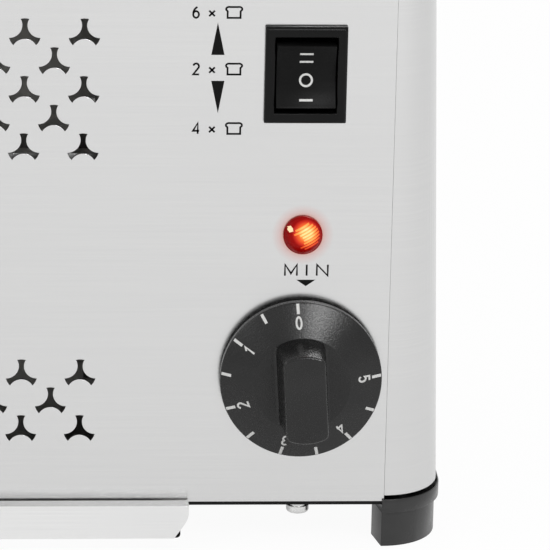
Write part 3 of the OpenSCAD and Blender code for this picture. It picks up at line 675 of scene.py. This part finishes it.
glow_right = 0.7 * mm
glow_up = 1.3 * mm
glow_reach = (lens_reach + flange_reach) / 2
glow_middle = lamp_axis + Vector((glow_right, -glow_reach, glow_up))
glow_far = 6.2 * mm


def lit_from_behind(finish, tones):
    """Makes a finish glow by nearness to the lamp behind it."""
    glow = tones_near(finish, glow_middle, glow_far, tones)
    finish.tree.links.new(glow, finish.shader.inputs["Emission Color"])
    finish.shader.inputs["Emission Strength"].default_value = 1.0


def red_plastic(name):
    """Clear red plastic that holds back all but the red of the light in front of it."""
    made = Finish(name, {"Metallic": 0.0, "Specular IOR Level": 0.06})
    haze = made.clouds(evenly(3 * mm))
    made.colour(haze, (0.1, 0.002, 0.002), (0.15, 0.004, 0.003))
    made.roughness(haze, 0.12, 0.2)
    return made


red_lens = red_plastic("red_lens")
lit_from_behind(red_lens, [(0.0, (0.1, 0.0, 0.0)), (0.28, (0.2, 0.0, 0.0)), (0.4, (0.55, 0.03, 0.015)),
                           (0.53, (0.85, 0.16, 0.03)), (0.66, (1.0, 0.5, 0.12))])
lens_points, lens_faces = turned(lens_profile, lamp_axis, 96)
lamp_lens = make_piece("lamp_dome", lens_points, lens_faces, red_lens, "casing")
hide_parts("lamp_lens")

rib_lean = math.radians(27)
rib_steps = 12


def on_dome(middle_x, middle_z):
    """Lays ribs on the dome round a spot, leaning up to the right."""
    def place(x, y, lift):
        across = middle_x + x * math.cos(rib_lean) - y * math.sin(rib_lean)
        along = middle_z + x * math.sin(rib_lean) + y * math.cos(rib_lean)
        drop = dome_sphere - math.sqrt(dome_sphere ** 2 - across ** 2 - along ** 2)
        return (lamp_axis.x + across, lamp_axis.y - lens_reach + drop - lift, lamp_axis.z + along)
    return place


def rib_field(count, pitch, width, field_r, place, shade_r=0.0, shade_x=0.0):
    """Ribs side by side that fill a round field, cut back at the left by a round shade."""
    ribs = Print()
    for k in range(count):
        y = (k - (count - 1) / 2) * pitch
        end = math.sqrt(field_r ** 2 - y ** 2)
        start = -end
        if abs(y) < shade_r:
            start = max(start, shade_x + math.sqrt(shade_r ** 2 - y ** 2))
        shares = [j / rib_steps for j in range(rib_steps + 1)]
        ribs.line([(start + (end - start) * share, y) for share in shares], width, place)
    return ribs


lit_ribs = red_plastic("lit_ribs")
lit_from_behind(lit_ribs, [(0.0, (0.3, 0.01, 0.0)), (0.3, (0.75, 0.08, 0.02)), (0.42, (0.95, 0.26, 0.05)),
                           (0.54, (1.0, 0.5, 0.12)), (0.66, (1.0, 0.84, 0.34))])
lamp_ribs = rib_field(count=8, pitch=0.95 * mm, width=0.56 * mm, field_r=4.1 * mm,
                      place=on_dome(1.0 * mm, 0.5 * mm), shade_r=2.3 * mm, shade_x=-3.6 * mm)
lamp_ribs.make("lamp_ribs", lit_ribs, "casing", "lamp_red")

# Painted highlight: a small near-white glowing patch at the dome's upper left stands for a reflection of
# light on it.
painted_highlight = red_plastic("painted_highlight")
painted_highlight.shader.inputs["Emission Color"].default_value = (1.0, 0.84, 0.5, 1)
painted_highlight.shader.inputs["Emission Strength"].default_value = 1.0
painted_lamp_highlight = rib_field(count=3, pitch=0.5 * mm, width=0.52 * mm, field_r=0.85 * mm,
                     place=on_dome(-4.2 * mm, 2.6 * mm))
painted_lamp_highlight.make("painted_lamp_highlight", painted_highlight, "casing", "lamp_red")

# Painted glow: the front steel's colour is tinted red near the lamp, standing for the lamp's light on the
# panel.
painted_glow_far = 9.8 * mm
painted_glow_tones = [(0.0, (1, 1, 1)), (0.13, (1, 0.91, 0.9)), (0.25, (1, 0.8, 0.78)), (0.4, (1, 0.57, 0.48))]
painted_red_glow = tones_near(front_steel, lamp_axis, painted_glow_far, painted_glow_tones)
painted_glow_tint = front_steel.tree.nodes.new("ShaderNodeVectorMath")
painted_glow_tint.operation = "MULTIPLY"
steel_colour = front_steel.shader.inputs["Base Color"]
front_steel.tree.links.new(steel_colour.links[0].from_socket, painted_glow_tint.inputs[0])
front_steel.tree.links.new(painted_red_glow, painted_glow_tint.inputs[1])
front_steel.tree.links.new(painted_glow_tint.outputs["Vector"], steel_colour)

holder_plastic = moulded_black("holder_plastic")
dress("lamp_holder", holder_plastic, soft_edge=0.4 * mm)


# Panel print
# Dark ink on the front panel: slice counts with arrows beside the switch, minutes over the dial.

panel_y = lamp_axis.y


def on_panel(x, z, lift):
    """Point on the front panel's face."""
    return (x, panel_y - lift, z)


switch_axis = axis_of("switch_housing")
label_left = 27.3 * mm
label_rise = 157 * mm
label_middle = Vector((switch_axis.x - label_left, label_rise))
label_lean = math.tan(math.radians(1.0))
label_height = 3.5 * mm
label_line = 0.6 * mm
slice_width = 5.0 * mm
count_x = -7.7 * mm
times_x = -2.7 * mm
slice_x = 2.5 * mm
arrow_width = 4.1 * mm
arrow_height = 10.4 * mm

panel_print = Print()


def label_x(z):
    """Middle of the labels at a height; they are printed a little askew."""
    return label_middle.x + (label_middle.y - z) * label_lean


def print_strokes(strokes, left, low, height):
    """Inks strokes drawn in a cell of height 1, from their lower left corner."""
    for stroke, closed in strokes:
        drawn = [(left + x * height, low + y * height) for x, y in stroke]
        panel_print.line(drawn, label_line, on_panel, closed)


def print_slice(left, low, width, height):
    """Inks the outline of a slice of bread."""
    loaf = [(0.1, 0.0), (0.1, 0.6)] + arc(0.2, 0.8, 0.2, 0.2, 230, 70, 8)
    crown = arc(0.8, 0.8, 0.2, 0.2, 110, -50, 8) + [(0.9, 0.6), (0.9, 0.0)]
    drawn = [(left + x * width, low + y * height) for x, y in loaf + crown]
    panel_print.line(drawn, label_line, on_panel, closed=True)


times_sign = [([(0.0, 0.15), (0.5, 0.65)], False), ([(0.0, 0.65), (0.5, 0.15)], False)]
label_rows = (("6", 175.1 * mm), ("2", 157.0 * mm), ("4", 137.9 * mm))
arrow_rows = ((161.5 * mm, 1), (153.2 * mm, -1))
for count, height in label_rows:
    low = height - label_height / 2
    middle = label_x(height)
    print_strokes(numerals[count], middle + count_x, low, label_height)
    print_strokes(times_sign, middle + times_x, low, label_height)
    print_slice(middle + slice_x, low, slice_width, label_height)
for back, way in arrow_rows:
    tip = back + way * arrow_height
    left = label_x(back) - arrow_width / 2
    panel_print.patch([(left, back), (left + arrow_width, back), (label_x(tip), tip)], on_panel)

unit_height = 3.6 * mm
unit_low = 90.1 * mm
unit_x = knob_axis.x + 1.3 * mm
letters = [
    (-6.8 * mm, [([(0, 0), (0, 1), (0.52, 0.2), (1.04, 1), (1.04, 0)], False)]),
    (0.0 * mm, [([(0, 0), (0, 1)], False)]),
    (3.2 * mm, [([(0, 0), (0, 1), (0.95, 0), (0.95, 1)], False)]),
]
for left, strokes in letters:
    print_strokes(strokes, unit_x + left, unit_low, unit_height)
pointer_x = unit_x - 0.2 * mm
pointer_z = 88.75 * mm
pointer_half = 3 * mm
pointer_drop = 2.1 * mm
pointer_back = [(pointer_x - pointer_half, pointer_z), (pointer_x + pointer_half, pointer_z)]
panel_print.patch(pointer_back + [(pointer_x, pointer_z - pointer_drop)], on_panel)

dark_ink = Finish("dark_ink", {"Metallic": 0.0, "Specular IOR Level": 0.08})
dark_grain = dark_ink.clouds(evenly(0.5 * mm))
dark_ink.colour(dark_grain, grey(0.003), grey(0.006))
dark_ink.roughness(dark_grain, 0.45, 0.6)
panel_print.make("panel_print", dark_ink, "casing", "holder_black")


# Mains side
# A porcelain terminal block sits inside, and a black cable gland holds the inlet at the rear.

terminal_glaze = Finish("terminal_glaze", {"Metallic": 0.0})
terminal_haze = terminal_glaze.clouds(evenly(8 * mm))
terminal_glaze.colour(terminal_haze, (0.7, 0.7, 0.68), (0.8, 0.8, 0.78))
terminal_glaze.roughness(terminal_haze, 0.35, 0.5)
dress("terminal_block", terminal_glaze, soft_edge=0.5 * mm)
gland_plastic = moulded_black("gland_plastic", dark=0.012, light=0.02)
dress("cable_gland", gland_plastic, soft_edge=0.4 * mm)


# Crumb tray and its rails
# The tray is a folded stainless drawer under the chamber, with a lip across the front as its pull.
# It slides on folded steel rails fixed below the base plate.

# Painted sheen: the tray's steel is coloured lighter than the panels', standing in for its brighter
# reflection.
tray_steel_painted_sheen = brushed_steel("tray_steel_painted_sheen", (40 * mm, 0.25 * mm, 0.25 * mm), dark=0.79, light=0.83)
dress("crumb_tray", tray_steel_painted_sheen, soft_edge=0.2 * mm, smooth=False)
dress("tray_rails", zinc, soft_edge=0.3 * mm)


# Feet
# Four black mouldings carry the corners; a rim round each covers the lower edge of the casing.

foot_plastic = moulded_black("foot_plastic", dark=0.018, light=0.026, gloss=0.5, smooth=0.2, rough=0.3,
                             depth=0.01 * mm)
for side in ("front_left", "front_right", "rear_left", "rear_right"):
    dress(f"foot_{side}", foot_plastic, soft_edge=0.6 * mm)


# Lip pads
# A small black pad is glued behind each lower corner of the tray's lip, its black a painted shade for those
# corners.

# Painted shade: the pads are coloured black to darken the lip's lower corners where shade falls.
painted_shade_pad = moulded_black("painted_shade_pad", dark=0.002, light=0.004, gloss=0.1, smooth=0.6, rough=0.75)
dress("lip_pads", painted_shade_pad, soft_edge=0.2 * mm)


# Screws
# Bright zinc-plated screws with domed heads hold the base plate and the feet.

screw_zinc = Finish("screw_zinc", {"Metallic": 1.0})
screw_mottle = screw_zinc.clouds(evenly(2 * mm))
screw_zinc.colour(screw_mottle, grey(0.66), (0.78, 0.78, 0.77))
screw_zinc.roughness(screw_mottle, 0.18, 0.3)
for screws in ("base_screws", "foot_screws"):
    dress(screws, screw_zinc)


# Studio
# A pale floor, a white surround, two softboxes and an even light from overhead.
# The camera stands far off at the front, to the left and above.

floor_size = 60.0
floor_mesh = bpy.data.meshes.new("floor")
floor_half = floor_size / 2
floor_mesh.from_pydata([(-floor_half, -floor_half, 0), (floor_half, -floor_half, 0),
                        (floor_half, floor_half, 0), (-floor_half, floor_half, 0)], [], [(0, 1, 2, 3)])
floor = bpy.data.objects.new("floor", floor_mesh)
bpy.context.scene.collection.objects.link(floor)
floor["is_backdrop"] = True


def white_share(tree, seen, mirrored):
    """Share of plain white in a backdrop: seen by the camera, mirrored in gloss or through glass."""
    rays = tree.nodes.new("ShaderNodeLightPath")
    levels = {"Is Camera Ray": seen, "Is Glossy Ray": mirrored, "Is Transmission Ray": mirrored}
    share = None
    for kind, level in levels.items():
        step = tree.nodes.new("ShaderNodeMath")
        step.operation = "MULTIPLY_ADD"
        step.inputs[1].default_value = level
        step.inputs[2].default_value = 0.0
        tree.links.new(rays.outputs[kind], step.inputs[0])
        if share is not None:
            tree.links.new(share, step.inputs[2])
        share = step.outputs["Value"]
    return share


floor_paint = bpy.data.materials.new("floor_paint")
floor_paint.use_nodes = True
floor_tree = floor_paint.node_tree
floor_tree.nodes.remove(floor_tree.nodes["Principled BSDF"])
floor_matt = floor_tree.nodes.new("ShaderNodeBsdfDiffuse")
floor_matt.inputs["Color"].default_value = (0.88, 0.88, 0.88, 1)
floor_glow = floor_tree.nodes.new("ShaderNodeEmission")
floor_mix = floor_tree.nodes.new("ShaderNodeMixShader")
floor_tree.links.new(white_share(floor_tree, seen=0.95, mirrored=0.5), floor_mix.inputs["Fac"])
floor_tree.links.new(floor_matt.outputs["BSDF"], floor_mix.inputs[1])
floor_tree.links.new(floor_glow.outputs["Emission"], floor_mix.inputs[2])
floor_tree.links.new(floor_mix.outputs["Shader"], floor_tree.nodes["Material Output"].inputs["Surface"])
floor_mesh.materials.append(floor_paint)

surround = bpy.data.worlds.new("surround")
surround.use_nodes = True
surround_tree = surround.node_tree
soft_light = surround_tree.nodes["Background"]
soft_light.inputs["Color"].default_value = (1, 1, 1, 1)
soft_light.inputs["Strength"].default_value = 0.4
white_wall = surround_tree.nodes.new("ShaderNodeBackground")
white_wall.inputs["Color"].default_value = (1, 1, 1, 1)
white_wall.inputs["Strength"].default_value = 1.0
wall_mix = surround_tree.nodes.new("ShaderNodeMixShader")
surround_tree.links.new(white_share(surround_tree, seen=1.0, mirrored=0.5), wall_mix.inputs["Fac"])
surround_tree.links.new(soft_light.outputs["Background"], wall_mix.inputs[1])
surround_tree.links.new(white_wall.outputs["Background"], wall_mix.inputs[2])
surround_tree.links.new(wall_mix.outputs["Shader"], surround_tree.nodes["World Output"].inputs["Surface"])
bpy.context.scene.world = surround


def soft_lamp(name, place, aim, width, height, power):
    """A softbox that the camera doesn't see."""
    lamp = bpy.data.lights.new(name, "AREA")
    lamp.shape = "RECTANGLE"
    lamp.size = width
    lamp.size_y = height
    lamp.energy = power
    box = bpy.data.objects.new(name, lamp)
    box.location = place
    box.rotation_euler = (Vector(aim) - Vector(place)).to_track_quat("-Z", "Y").to_euler()
    box.visible_camera = False
    bpy.context.scene.collection.objects.link(box)


lamp_aim = (0, 0, 0.1)
soft_lamp("key_lamp", (0.95, -1.98, 1.62), lamp_aim, width=0.9, height=0.7, power=28)
soft_lamp("fill_lamp", (-1.6, -1.3, 1.2), lamp_aim, width=1.2, height=1.2, power=8)

overhead = bpy.data.lights.new("overhead", "SUN")
overhead.energy = 1.0
overhead.angle = math.radians(100)
ceiling = bpy.data.objects.new("overhead", overhead)
ceiling.visible_glossy = False
bpy.context.scene.collection.objects.link(ceiling)

view_yaw = math.radians(4.5)
view_pitch = math.radians(17.15)
view_roll = math.radians(1.33)
view_distance = 1.8769
view_aim = Vector((171.0 * mm, panel_y, 90.3 * mm))
sensor = 36.0
focal_pixels = 6000
image_pixels = 550
along_table = Vector((math.sin(view_yaw), math.cos(view_yaw), 0))
ahead = along_table * math.cos(view_pitch) - Vector((0, 0, 1)) * math.sin(view_pitch)
level = Vector((math.cos(view_yaw), -math.sin(view_yaw), 0))
rise = level.cross(ahead)
camera_right = level * math.cos(view_roll) + rise * math.sin(view_roll)
camera_up = rise * math.cos(view_roll) - level * math.sin(view_roll)
camera_lens = bpy.data.cameras.new("camera")
camera_lens.sensor_width = sensor
camera_lens.lens = focal_pixels / image_pixels * sensor
camera_lens.clip_end = 200
camera = bpy.data.objects.new("camera", camera_lens)
turn = Matrix((camera_right, camera_up, -ahead)).transposed().to_4x4()
camera.matrix_world = Matrix.Translation(view_aim - ahead * view_distance) @ turn
bpy.context.scene.collection.objects.link(camera)
bpy.context.scene.camera = camera
bpy.context.scene.view_settings.view_transform = "Standard"

low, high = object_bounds()
